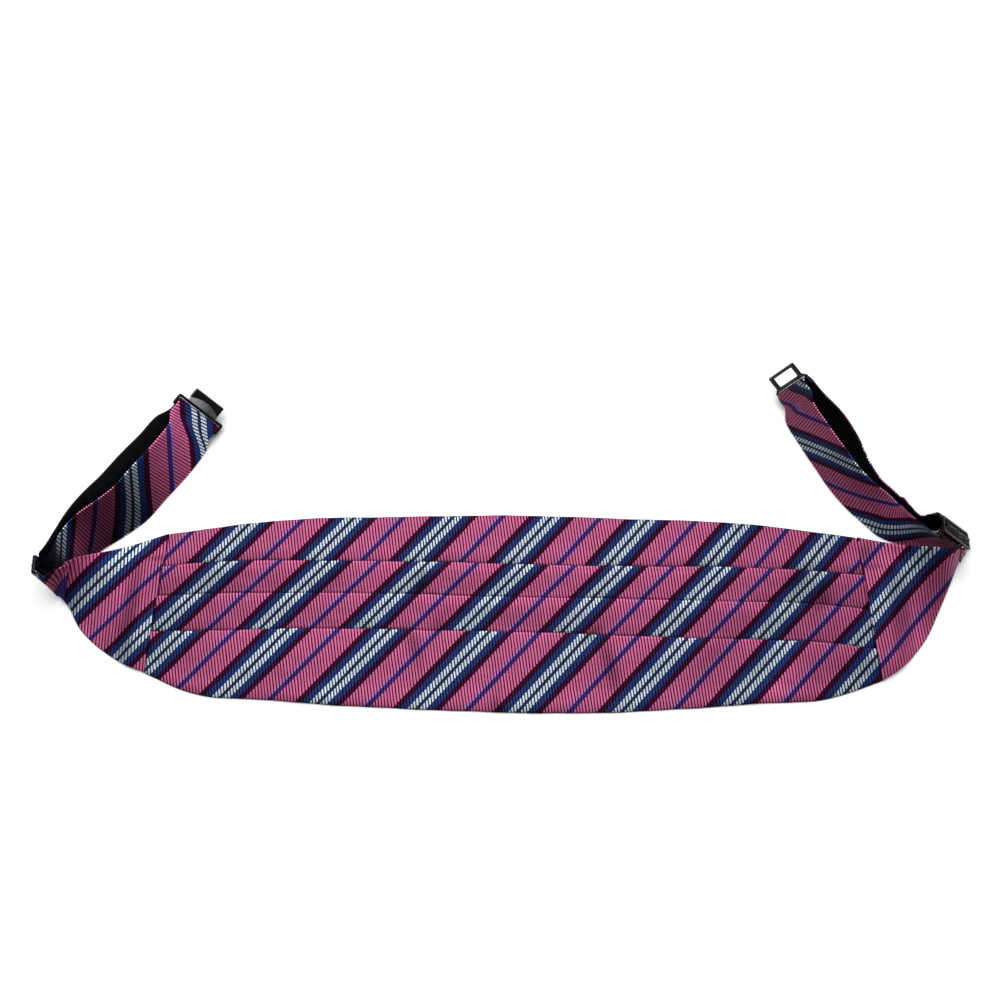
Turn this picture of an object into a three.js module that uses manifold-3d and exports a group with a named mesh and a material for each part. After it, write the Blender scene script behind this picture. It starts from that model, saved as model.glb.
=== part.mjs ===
// Cummerbund lying face up: four stepped pleats, a wing at each end that curls up to a slider,
// and two strap loops that stand on edge and carry a hook on the left and an eye on the right.
// Millimetres. +X runs along the sash, +Y from its lower edge to its upper edge, +Z up off the floor.

import * as THREE from 'three';
import Module from 'manifold-3d';

const wasm = await Module();
wasm.setup();

// Driving sizes
const HALF_SPAN = 300;
const BODY_HEIGHT = 130;
const STRAP_WIDTH = 31.75;

// Cloth
const CLOTH = 1.0;
const WING_CLOTH = 1.2;
const GAP = 0.3;
const FLOOR_CLEARANCE = 0.1;
const PITCH = CLOTH + GAP;
const PLEAT_OVERLAP = 11;
const PLEAT_SLOPE = 8;
const PLEAT_SWELL = 0.7;
const SEAM_COVER = 5;
const SEAM_TUCK = 5;
const LINING_INSET = 2;

// Hardware
const PLATE = 2.0;
const BEVEL = 0.45;
const HARDWARE_LENGTH = STRAP_WIDTH + 4.25;
const SLOT_LENGTH = STRAP_WIDTH + 0.75;
const SLIDER_SPACING = 5.2;
const SLIDER_BAR = 2.0;
const STRAP_BAR = 2.4;
const STRAP_SLOT = 4.0;
const FRONT_BAR = 2.0;
const WRAP_RADIUS = 3.4;
const WEAVE_DEPTH = 2.0;
const TURN_RADIUS = 2.5;
const WINDOW_WIDTH = STRAP_WIDTH - 9.25;
const HOOK_CLEARANCE = 0.5;

// The pleats from the left seam (at 0) to the right seam (at 1).
// Upper edge, the three folds and the lower edge as shares of BODY_HEIGHT.
const PLEAT_ROWS = [
  { at: 0.00, top: 0.414, fold1: 0.243, fold2: 0.090, fold3: -0.088, bottom: -0.295 },
  { at: 0.07, top: 0.451, fold1: 0.265, fold2: 0.102, fold3: -0.085, bottom: -0.397 },
  { at: 0.16, top: 0.485, fold1: 0.274, fold2: 0.108, fold3: -0.076, bottom: -0.426 },
  { at: 0.33, top: 0.506, fold1: 0.269, fold2: 0.102, fold3: -0.079, bottom: -0.464 },
  { at: 0.50, top: 0.511, fold1: 0.256, fold2: 0.087, fold3: -0.091, bottom: -0.489 },
  { at: 0.67, top: 0.495, fold1: 0.242, fold2: 0.074, fold3: -0.112, bottom: -0.482 },
  { at: 0.84, top: 0.466, fold1: 0.237, fold2: 0.061, fold3: -0.131, bottom: -0.443 },
  { at: 0.93, top: 0.431, fold1: 0.219, fold2: 0.048, fold3: -0.145, bottom: -0.417 },
  { at: 1.00, top: 0.395, fold1: 0.197, fold2: 0.020, fold3: -0.175, bottom: -0.338 },
];

// Each wing from its seam (at 0) to its tip (at 1): its lower and upper edge.
// "out" is a share of HALF_SPAN from the middle, "up" a share of BODY_HEIGHT,
// "rise" the height of the upper edge and "lift" that of the lower one, as shares of STRAP_WIDTH.
const WING_ROWS = {
  left: [
    { at: 0.00, lowOut: 0.783, lowUp: -0.292, highOut: 0.757, highUp: 0.414, rise: 0.00, lift: 0, curl: 2.2 },
    { at: 0.17, lowOut: 0.820, lowUp: -0.262, highOut: 0.800, highUp: 0.377, rise: 0.03, lift: 0, curl: 2.2 },
    { at: 0.36, lowOut: 0.860, lowUp: -0.212, highOut: 0.845, highUp: 0.334, rise: 0.16, lift: 0, curl: 2.1 },
    { at: 0.54, lowOut: 0.900, lowUp: -0.146, highOut: 0.883, highUp: 0.304, rise: 0.27, lift: 0, curl: 1.8 },
    { at: 0.70, lowOut: 0.933, lowUp: -0.069, highOut: 0.912, highUp: 0.281, rise: 0.39, lift: 0.01, curl: 1.5 },
    { at: 0.85, lowOut: 0.957, lowUp: 0.027, highOut: 0.933, highUp: 0.256, rise: 0.54, lift: 0.03, curl: 1.2 },
    { at: 1.00, lowOut: 0.977, lowUp: 0.080, highOut: 0.954, highUp: 0.212, rise: 0.74, lift: 0.05, curl: 1.0 },
  ],
  right: [
    { at: 0.00, lowOut: 0.780, lowUp: -0.336, highOut: 0.757, highUp: 0.395, rise: 0.00, lift: 0, curl: 2.2 },
    { at: 0.15, lowOut: 0.817, lowUp: -0.285, highOut: 0.803, highUp: 0.366, rise: 0.09, lift: 0, curl: 2.2 },
    { at: 0.29, lowOut: 0.853, lowUp: -0.215, highOut: 0.840, highUp: 0.342, rise: 0.25, lift: 0, curl: 2.1 },
    { at: 0.44, lowOut: 0.888, lowUp: -0.118, highOut: 0.873, highUp: 0.323, rise: 0.41, lift: 0, curl: 1.9 },
    { at: 0.58, lowOut: 0.917, lowUp: 0.000, highOut: 0.900, highUp: 0.308, rise: 0.57, lift: 0, curl: 1.6 },
    { at: 0.73, lowOut: 0.947, lowUp: 0.138, highOut: 0.925, highUp: 0.292, rise: 0.72, lift: 0.02, curl: 1.3 },
    { at: 0.88, lowOut: 0.968, lowUp: 0.240, highOut: 0.941, highUp: 0.282, rise: 0.85, lift: 0.04, curl: 1.0 },
    { at: 1.00, lowOut: 0.979, lowUp: 0.288, highOut: 0.955, highUp: 0.286, rise: 0.90, lift: 0.08, curl: 1.0 },
  ],
};

// The inner layer of each strap loop from beside the slider to beside the clasp: its lower edge
// on the floor, its lean from the floor and the compass way that it leans, both in degrees, and
// the sideways gap out to the outer layer as a share of STRAP_WIDTH.
const STRAP_ROWS = {
  left: [
    { out: 0.943, up: 0.238, lean: 58, toward: 112, gap: 0.14 },
    { out: 0.900, up: 0.331, lean: 51, toward: 124, gap: 0.22 },
    { out: 0.857, up: 0.400, lean: 45, toward: 133, gap: 0.32 },
    { out: 0.813, up: 0.481, lean: 41, toward: 138, gap: 0.38 },
    { out: 0.770, up: 0.608, lean: 40, toward: 141, gap: 0.38 },
    { out: 0.727, up: 0.735, lean: 40, toward: 144, gap: 0.36 },
    { out: 0.693, up: 0.858, lean: 41, toward: 147, gap: 0.31 },
  ],
  right: [
    { out: 0.935, up: 0.340, lean: 47, toward: 150, gap: 0.16 },
    { out: 0.890, up: 0.345, lean: 51, toward: 128, gap: 0.20 },
    { out: 0.847, up: 0.362, lean: 56, toward: 102, gap: 0.20 },
    { out: 0.808, up: 0.400, lean: 60, toward: 75, gap: 0.15 },
    { out: 0.776, up: 0.469, lean: 63, toward: 50, gap: 0.14 },
    { out: 0.744, up: 0.545, lean: 65, toward: 40, gap: 0.17 },
    { out: 0.712, up: 0.642, lean: 66, toward: 32, gap: 0.26 },
    { out: 0.681, up: 0.767, lean: 67, toward: 27, gap: 0.38 },
    { out: 0.650, up: 0.899, lean: 68, toward: 20, gap: 0.42 },
    { out: 0.623, up: 1.031, lean: 69, toward: 10, gap: 0.32 },
  ],
};

// Where each slider and clasp stands: the lower end of its first bar, with "out" as a share of
// HALF_SPAN, "up" of BODY_HEIGHT and "lift" of STRAP_WIDTH. "axis" runs up along its bars and
// "heading" is the way that the strap passes across them. "turn" is how far the outer layer
// turns round after the slider, in degrees, and "approach" where across the slider, from its
// middle bar, the inner layer comes in.
const SLIDER_PLACE = {
  left: {
    out: 0.9890, up: 0.114, lift: 0.110, turn: 45, approach: 3.5,
    axis: [-0.050, 0.097, 0.994], heading: [-0.060, 0.993, -0.100],
  },
  right: {
    out: 0.9987, up: 0.329, lift: 0.101, turn: 95, approach: -3,
    axis: [-0.694, 0.131, 0.707], heading: [0.041, 0.989, -0.141],
  },
};
const CLASP_PLACE = {
  left: { out: 0.6687, up: 0.951, lift: 0.113, axis: [-0.700, 0.430, 0.570], heading: [0.620, 0.742, 0.241] },
  right: { out: 0.6153, up: 1.146, lift: 0.082, axis: [0.320, -0.020, 0.947], heading: [-0.610, 0.751, 0.244] },
};

// Smooth curve through the rows of a table, read at one place for one column.
function readRow(rows, at, column) {
  const last = rows.length - 1;
  const slope = (i) => (rows[i + 1][column] - rows[i][column]) / (rows[i + 1].at - rows[i].at);
  const tangent = (i) => {
    if (i === 0) return slope(0);
    if (i === last) return slope(last - 1);
    const before = rows[i].at - rows[i - 1].at;
    const after = rows[i + 1].at - rows[i].at;
    return (slope(i - 1) * after + slope(i) * before) / (before + after);
  };
  let i = 0;
  while (i < last - 1 && at > rows[i + 1].at) i += 1;
  const span = rows[i + 1].at - rows[i].at;
  const t = THREE.MathUtils.clamp((at - rows[i].at) / span, 0, 1);
  const t2 = t * t;
  const t3 = t2 * t;
  return (2 * t3 - 3 * t2 + 1) * rows[i][column] + (t3 - 2 * t2 + t) * span * tangent(i)
    + (3 * t2 - 2 * t3) * rows[i + 1][column] + (t3 - t2) * span * tangent(i + 1);
}

function mix(a, b, share) {
  return a + (b - a) * share;
}

function easeBetween(value, start, end) {
  return THREE.MathUtils.smoothstep(value, start, end);
}

// Closed solid between two skins of the same grid. "front" is the skin on the side that
// (step between rows) x (step within a row) points to.
function solidBetween(front, back) {
  const rows = front.length;
  const columns = front[0].length;
  const positions = [];
  const index = [];
  for (const skin of [front, back]) {
    for (const row of skin) {
      for (const point of row) positions.push(point.x, point.y, point.z);
    }
  }
  const f = (i, j) => i * columns + j;
  const b = (i, j) => rows * columns + i * columns + j;
  const quad = (p, q, r, s) => index.push(p, q, r, p, r, s);
  for (let i = 0; i < rows - 1; i += 1) {
    for (let j = 0; j < columns - 1; j += 1) {
      quad(f(i, j), f(i + 1, j), f(i + 1, j + 1), f(i, j + 1));
      quad(b(i, j), b(i, j + 1), b(i + 1, j + 1), b(i + 1, j));
    }
    quad(f(i, 0), b(i, 0), b(i + 1, 0), f(i + 1, 0));
    quad(f(i, columns - 1), f(i + 1, columns - 1), b(i + 1, columns - 1), b(i, columns - 1));
  }
  for (let j = 0; j < columns - 1; j += 1) {
    quad(f(0, j), f(0, j + 1), b(0, j + 1), b(0, j));
    quad(f(rows - 1, j), b(rows - 1, j), b(rows - 1, j + 1), f(rows - 1, j + 1));
  }
  const geometry = new THREE.BufferGeometry();
  geometry.setAttribute('position', new THREE.Float32BufferAttribute(positions, 3));
  geometry.setIndex(index);
  return geometry;
}

// Unit normals of a grid of points, by differences between neighbours.
function gridNormals(grid) {
  return grid.map((row, i) => row.map((point, j) => {
    const along = new THREE.Vector3().subVectors(
      grid[Math.min(i + 1, grid.length - 1)][j], grid[Math.max(i - 1, 0)][j]);
    const across = new THREE.Vector3().subVectors(
      row[Math.min(j + 1, row.length - 1)], row[Math.max(j - 1, 0)]);
    return along.cross(across).normalize();
  }));
}

function offsetGrid(grid, normals, distance) {
  return grid.map((row, i) => row.map(
    (point, j) => point.clone().addScaledVector(normals[i][j], distance)));
}

function clothSheet(grid, thickness) {
  const normals = gridNormals(grid);
  return solidBetween(offsetGrid(grid, normals, thickness / 2), offsetGrid(grid, normals, -thickness / 2));
}

function pleatLevels(at) {
  const level = (column) => readRow(PLEAT_ROWS, at, column) * BODY_HEIGHT;
  return {
    top: level('top'),
    folds: [level('fold1'), level('fold2'), level('fold3')],
    bottom: level('bottom'),
  };
}

// Centre line of the folded cloth, as [y, z] points from the upper edge to the lower edge.
// At each fold it runs under the next pleat, turns back up and turns over at the fold.
function pleatPath(levels, swell) {
  const base = CLOTH / 2;
  const radius = PITCH / 2;
  const crown = base + 2 * PITCH;
  const path = [[levels.top, base], [mix(levels.top, levels.folds[0], 0.5), base]];
  const turn = (y, z, from, to) => {
    for (let step = 0; step <= 3; step += 1) {
      const angle = THREE.MathUtils.degToRad(mix(from, to, step / 3));
      path.push([y + radius * Math.cos(angle), z + radius * Math.sin(angle)]);
    }
  };
  levels.folds.forEach((fold, k) => {
    const next = k < 2 ? levels.folds[k + 1] : levels.bottom + PLEAT_OVERLAP;
    turn(fold - PLEAT_OVERLAP + radius, base + radius, -90, -270);
    turn(fold - CLOTH / 2 - radius, base + PITCH + radius, -90, 90);
    const shoulder = fold - PLEAT_OVERLAP - 1;
    path.push([mix(fold, shoulder, 0.35), crown + 0.5 * swell]);
    path.push([mix(fold, shoulder, 0.7), crown + swell]);
    for (let step = 0; step <= 3; step += 1) {
      const share = step / 3;
      const drop = easeBetween(share, 0, 1);
      path.push([shoulder - PLEAT_SLOPE * share, mix(crown + swell, base, drop)]);
    }
    path.push([mix(shoulder - PLEAT_SLOPE, next - PLEAT_OVERLAP, 0.5), base]);
  });
  path.push([levels.bottom, base]);
  return path;
}

// Seam line of one side at height y on the sash, as x.
function seamX(side, y) {
  const row = WING_ROWS[side][0];
  const sign = side === 'left' ? -1 : 1;
  const share = (y / BODY_HEIGHT - row.lowUp) / (row.highUp - row.lowUp);
  return sign * HALF_SPAN * mix(row.lowOut, row.highOut, share);
}

// Places along the pleats, closer together towards the ends, with one at each seam.
function pleatStations(seamShare) {
  const count = 18;
  const places = [0];
  for (let i = 0; i <= count; i += 1) {
    const even = i / count;
    const eased = mix(even, (1 - Math.cos(Math.PI * even)) / 2, 0.7);
    places.push(mix(seamShare, 1 - seamShare, eased));
  }
  places.push(1);
  return places;
}

function pleatedFront() {
  const length = 2 * HALF_SPAN * WING_ROWS.left[0].highOut;
  const seamShare = SEAM_COVER / (length + 2 * SEAM_COVER);
  const front = [];
  const back = [];
  for (const along of pleatStations(seamShare)) {
    const at = THREE.MathUtils.clamp((along - seamShare) / (1 - 2 * seamShare), 0, 1);
    const ends = easeBetween(along, 0.03, 0.12) * (1 - easeBetween(along, 0.88, 0.97));
    const swell = PLEAT_SWELL * ends * (1 + Math.sin(17 * along)) / 2;
    const levels = pleatLevels(at);
    if (along === 0 || along === 1) {
      levels.top -= SEAM_TUCK;
      levels.bottom += SEAM_TUCK;
    }
    const path = pleatPath(levels, swell);
    const upper = [];
    const lower = [];
    path.forEach(([y, z], j) => {
      const before = path[Math.max(j - 1, 0)];
      const after = path[Math.min(j + 1, path.length - 1)];
      const heading = new THREE.Vector2(after[0] - before[0], after[1] - before[1]).normalize();
      const x = mix(seamX('left', y) - SEAM_COVER, seamX('right', y) + SEAM_COVER, along);
      const dy = heading.y * CLOTH / 2;
      const dz = -heading.x * CLOTH / 2;
      upper.push(new THREE.Vector3(x, y + dy, z + dz));
      lower.push(new THREE.Vector3(x, y - dy, z - dz));
    });
    front.push(lower);
    back.push(upper);
  }
  return solidBetween(front, back);
}

// Height of the pleats' upper side at y, widened a little so that the wing's edge clears each step.
function pleatHeight(y, levels) {
  const margin = 1.6;
  const ramp = 3;
  let lift = 0;
  for (const fold of levels.folds) {
    const below = fold - y;
    const up = THREE.MathUtils.clamp((below + margin + ramp) / ramp, 0, 1);
    const shoulder = PLEAT_OVERLAP + 1 + margin;
    const down = 1 - easeBetween(below, shoulder, shoulder + PLEAT_SLOPE);
    lift = Math.max(lift, Math.min(up, down));
  }
  return CLOTH + lift * 2 * PITCH;
}

function wingPoint(side, at, across) {
  const sign = side === 'left' ? -1 : 1;
  const read = (column) => readRow(WING_ROWS[side], at, column);
  const x = sign * HALF_SPAN * mix(read('lowOut'), read('highOut'), across);
  const y = BODY_HEIGHT * mix(read('lowUp'), read('highUp'), across);
  const seam = pleatLevels(side === 'left' ? 0 : 1);
  const cover = 1 - easeBetween(at, 0.13, 0.34);
  const rise = mix(read('lift'), read('rise'), Math.pow(across, read('curl'))) * STRAP_WIDTH;
  const z = WING_CLOTH / 2 + FLOOR_CLEARANCE + cover * (pleatHeight(y, seam) + GAP) + rise;
  return new THREE.Vector3(x, y, z);
}

function wing(side) {
  const stations = 12;
  const columns = 24;
  const grid = [];
  for (let i = 0; i <= stations; i += 1) {
    const row = [];
    for (let j = 0; j <= columns; j += 1) row.push(wingPoint(side, i / stations, j / columns));
    grid.push(row);
  }
  if (side === 'left') grid.reverse();
  return clothSheet(grid, WING_CLOTH);
}

// Frame of a slider or clasp: its axis along the bars, the strap's heading across them, and
// "out", the side of the plate that the patterned side of the outer layer faces.
function hardwareFrame(place, side) {
  const axis = new THREE.Vector3(...place.axis).normalize();
  const heading = new THREE.Vector3(...place.heading);
  heading.addScaledVector(axis, -heading.dot(axis)).normalize();
  const out = new THREE.Vector3().crossVectors(heading, axis);
  const sign = side === 'left' ? -1 : 1;
  if (side === 'left') out.negate();
  const foot = new THREE.Vector3(
    sign * place.out * HALF_SPAN, place.up * BODY_HEIGHT, place.lift * STRAP_WIDTH);
  return { foot, axis, heading, out };
}

function framePoint(frame, across, outward, along) {
  return frame.foot.clone()
    .addScaledVector(frame.heading, across)
    .addScaledVector(frame.out, outward)
    .addScaledVector(frame.axis, along);
}

const STRAP_INSET = (HARDWARE_LENGTH - STRAP_WIDTH) / 2;

function strapSection(low, axis) {
  return { low, high: low.clone().addScaledVector(axis, STRAP_WIDTH) };
}

// The strap's sections from the wing's tip through the slider, out along the outer layer,
// round the clasp's bar and back along the inner layer to the slider's middle bar.
function strapSections(side) {
  const sign = side === 'left' ? -1 : 1;
  const slider = hardwareFrame(SLIDER_PLACE[side], side);
  const clasp = hardwareFrame(CLASP_PLACE[side], side);
  const sections = [];
  const atSlider = (across, outward) => strapSection(
    framePoint(slider, SLIDER_SPACING + across, outward, STRAP_INSET), slider.axis);
  const atClasp = (across, outward) => strapSection(
    framePoint(clasp, across, outward, STRAP_INSET), clasp.axis);

  const sliderLead = atSlider(-SLIDER_SPACING - 2.6, -WEAVE_DEPTH);
  const clear = (WING_CLOTH + CLOTH) / 2 + 4 * GAP;
  const beyondTip = (across, target) => {
    const tip = wingPoint(side, 1, across);
    return tip.addScaledVector(target.clone().sub(tip).normalize(), clear);
  };
  sections.push({ low: beyondTip(0, sliderLead.low), high: beyondTip(1, sliderLead.high) });
  sections.push(sliderLead);
  for (let step = -4; step <= 4; step += 1) {
    const share = step / 4;
    sections.push(atSlider(share * SLIDER_SPACING, WEAVE_DEPTH * Math.cos(Math.PI * share)));
  }
  for (let step = 0; step <= 5; step += 1) {
    const angle = THREE.MathUtils.degToRad(90 - SLIDER_PLACE[side].turn * step / 5);
    sections.push(atSlider(
      SLIDER_SPACING + 2.2 + TURN_RADIUS * Math.cos(angle),
      -WEAVE_DEPTH - TURN_RADIUS + TURN_RADIUS * Math.sin(angle)));
  }

  const rows = STRAP_ROWS[side].map((row) => new THREE.Vector2(
    sign * row.out * HALF_SPAN, row.up * BODY_HEIGHT));
  const run = STRAP_ROWS[side].map((row, i) => {
    const ahead = rows[Math.min(i + 1, rows.length - 1)].clone();
    const heading = ahead.sub(rows[Math.max(i - 1, 0)]).normalize();
    const outward = new THREE.Vector3(-heading.y, heading.x, 0);
    if (side === 'right') outward.negate();
    const lean = THREE.MathUtils.degToRad(row.lean);
    const toward = THREE.MathUtils.degToRad(row.toward);
    const axis = new THREE.Vector3(
      Math.cos(lean) * Math.cos(toward), Math.cos(lean) * Math.sin(toward), Math.sin(lean));
    const rest = new THREE.Vector3(rows[i].x, rows[i].y, CLOTH / 2 + FLOOR_CLEARANCE);
    return { rest, outward, axis, gap: row.gap * STRAP_WIDTH };
  });
  for (const row of run) {
    sections.push(strapSection(row.rest.clone().addScaledVector(row.outward, row.gap), row.axis));
  }
  sections.push(atClasp(-5, WRAP_RADIUS));
  for (let step = 0; step <= 6; step += 1) {
    const angle = THREE.MathUtils.degToRad(90 - 30 * step);
    sections.push(atClasp(WRAP_RADIUS * Math.cos(angle), WRAP_RADIUS * Math.sin(angle)));
  }
  sections.push(atClasp(-5, -WRAP_RADIUS));
  for (const row of run.slice().reverse()) sections.push(strapSection(row.rest, row.axis));
  const { approach } = SLIDER_PLACE[side];
  sections.push(atSlider(approach, -WEAVE_DEPTH - 3.6));
  sections.push(atSlider(approach / 6, -WEAVE_DEPTH - 0.2));
  return sections;
}

// Evenly refined sections, each with its distance along the strap.
function refine(sections, step) {
  let distance = 0;
  const rows = sections.map((section, i) => {
    if (i > 0) {
      const before = sections[i - 1];
      distance += (section.low.distanceTo(before.low) + section.high.distanceTo(before.high)) / 2;
    }
    return {
      at: distance,
      lowX: section.low.x, lowY: section.low.y, lowZ: section.low.z,
      highX: section.high.x, highY: section.high.y, highZ: section.high.z,
    };
  });
  const refined = [];
  rows.forEach((row, i) => {
    const pieces = i === 0 ? 1 : Math.max(1, Math.round((row.at - rows[i - 1].at) / step));
    for (let piece = 1; piece <= pieces; piece += 1) {
      const at = i === 0 ? 0 : mix(rows[i - 1].at, row.at, piece / pieces);
      const read = (name) => new THREE.Vector3(
        readRow(rows, at, `${name}X`), readRow(rows, at, `${name}Y`), readRow(rows, at, `${name}Z`));
      const low = read('low');
      const high = read('high');
      const raise = Math.max(0, CLOTH / 2 + FLOOR_CLEARANCE - low.z);
      low.z += raise;
      high.z += raise;
      refined.push({ at, low, high, control: piece === pieces ? i : -1 });
    }
  });
  return refined;
}

function strapGrid(sections, inset) {
  const share = inset / STRAP_WIDTH;
  return sections.map(({ low, high }) => [share, 1 - share].map(
    (across) => new THREE.Vector3().lerpVectors(low, high, across)));
}

function strap(side) {
  return clothSheet(strapGrid(refine(strapSections(side), 5), 0), CLOTH);
}

// Black lining on the inside of the loop, a little narrower than the strap. It starts after the
// turn at the slider and ends before the slider on the inner layer.
function strapLining(side) {
  const sections = refine(strapSections(side), 5);
  const turnEnd = sections.findIndex((section) => section.control === 16);
  const innerEnd = sections.findIndex((section) => section.control === strapSections(side).length - 3);
  const grid = strapGrid(sections, LINING_INSET);
  const normals = gridNormals(grid);
  const inward = (side === 'left' ? 1 : -1) * PITCH;
  const inside = offsetGrid(grid, normals, inward);
  const kept = inside.slice(turnEnd + 2, innerEnd);
  const keptNormals = normals.slice(turnEnd + 2, innerEnd);
  return solidBetween(offsetGrid(kept, keptNormals, CLOTH / 2), offsetGrid(kept, keptNormals, -CLOTH / 2));
}

// Rounded rectangle outline, centred on x and starting at y0.
function roundedRect(target, width, y0, y1, radius) {
  const w = width / 2;
  target.moveTo(-w + radius, y0);
  target.lineTo(w - radius, y0);
  target.quadraticCurveTo(w, y0, w, y0 + radius);
  target.lineTo(w, y1 - radius);
  target.quadraticCurveTo(w, y1, w - radius, y1);
  target.lineTo(-w + radius, y1);
  target.quadraticCurveTo(-w, y1, -w, y1 - radius);
  target.lineTo(-w, y0 + radius);
  target.quadraticCurveTo(-w, y0, -w + radius, y0);
  return target;
}

// Flat plate with bevelled edges, centred on its thickness. Shapes lie in x (along the bars)
// and y (across the bars).
function bevelledPlate(shape, thickness) {
  const geometry = new THREE.ExtrudeGeometry(shape, {
    depth: thickness - 2 * BEVEL,
    bevelThickness: BEVEL,
    bevelSize: BEVEL,
    bevelOffset: -BEVEL,
    bevelSegments: 2,
    curveSegments: 3,
  });
  geometry.translate(0, 0, -thickness / 2 + BEVEL);
  return geometry;
}

// Moves a plate from x along bars, y across bars, z out of the plate to its place.
function placeHardware(geometry, frame, side) {
  const along = frame.axis.clone();
  const out = new THREE.Vector3().crossVectors(along, frame.heading);
  const centre = framePoint(frame, 0, 0, HARDWARE_LENGTH / 2);
  const matrix = new THREE.Matrix4().makeBasis(along, frame.heading, out);
  matrix.setPosition(centre);
  geometry.applyMatrix4(matrix);
  return geometry;
}

function slider(side) {
  const frame = hardwareFrame(SLIDER_PLACE[side], side);
  const bar = SLIDER_BAR / 2;
  const shape = roundedRect(new THREE.Shape(), HARDWARE_LENGTH, -bar, 2 * SLIDER_SPACING + bar, 1.6);
  for (const start of [0, SLIDER_SPACING]) {
    const hole = roundedRect(new THREE.Path(), SLOT_LENGTH, start + bar, start + SLIDER_SPACING - bar, 0.7);
    shape.holes.push(hole);
  }
  return placeHardware(bevelledPlate(shape, PLATE), frame, side);
}

function strapRing() {
  const back = -STRAP_BAR / 2;
  const slotEnd = STRAP_BAR / 2 + STRAP_SLOT;
  const shape = roundedRect(new THREE.Shape(), HARDWARE_LENGTH, back, slotEnd + FRONT_BAR, 1.6);
  shape.holes.push(roundedRect(new THREE.Path(), SLOT_LENGTH, STRAP_BAR / 2, slotEnd, 0.7));
  return shape;
}

function toManifold(geometry) {
  const loose = geometry.index ? geometry.toNonIndexed() : geometry;
  const positions = loose.getAttribute('position').array;
  const mesh = new wasm.Mesh({
    numProp: 3,
    vertProperties: new Float32Array(positions),
    triVerts: Uint32Array.from({ length: positions.length / 3 }, (_, i) => i),
  });
  mesh.merge();
  return new wasm.Manifold(mesh);
}

function fromManifold(solid) {
  const mesh = solid.getMesh();
  const geometry = new THREE.BufferGeometry();
  const positions = [];
  for (let i = 0; i < mesh.numVert; i += 1) {
    for (let k = 0; k < 3; k += 1) positions.push(mesh.vertProperties[i * mesh.numProp + k]);
  }
  geometry.setAttribute('position', new THREE.Float32BufferAttribute(positions, 3));
  geometry.setIndex(Array.from(mesh.triVerts));
  return geometry;
}

// Hook: the strap's ring, a neck plate, an upturned front wall and a lip that turns back over
// the neck, with the lip's inner edge cut to an arc.
function hook() {
  const frame = hardwareFrame(CLASP_PLACE.left, 'left');
  const width = WINDOW_WIDTH - HOOK_CLEARANCE;
  const neckStart = STRAP_BAR / 2 + STRAP_SLOT + FRONT_BAR / 2;
  const reach = 16.4;
  const wallThickness = 1.6;
  const lipBottom = 2.9;
  const lipTop = lipBottom + 1.5;
  const lipStart = 9.2;
  const arcRadius = width / 2 + 0.2;
  const profile = new THREE.Shape();
  const corner = 0.9;
  profile.moveTo(neckStart, -PLATE / 2 + 0.1);
  profile.lineTo(reach - corner, -PLATE / 2 + 0.1);
  profile.quadraticCurveTo(reach, -PLATE / 2 + 0.1, reach, -PLATE / 2 + 0.1 + corner);
  profile.lineTo(reach, lipTop - corner);
  profile.quadraticCurveTo(reach, lipTop, reach - corner, lipTop);
  profile.lineTo(lipStart, lipTop);
  profile.lineTo(lipStart, lipBottom);
  profile.lineTo(reach - wallThickness, lipBottom);
  profile.lineTo(reach - wallThickness, PLATE / 2 - 0.3);
  profile.lineTo(neckStart, PLATE / 2 - 0.3);
  profile.closePath();
  const bend = new THREE.ExtrudeGeometry(profile, { depth: width, bevelEnabled: false, curveSegments: 4 });
  const turn = new THREE.Matrix4().makeBasis(
    new THREE.Vector3(0, 1, 0), new THREE.Vector3(0, 0, 1), new THREE.Vector3(1, 0, 0));
  turn.setPosition(-width / 2, 0, 0);
  bend.applyMatrix4(turn);
  const arc = new THREE.CylinderGeometry(arcRadius, arcRadius, 4, 40);
  arc.rotateX(Math.PI / 2);
  arc.translate(0, 1.4, lipBottom + 1.6);
  const ring = toManifold(bevelledPlate(strapRing(), PLATE));
  const solid = ring.add(toManifold(bend)).subtract(toManifold(arc));
  return placeHardware(fromManifold(solid), frame, 'left');
}

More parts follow.
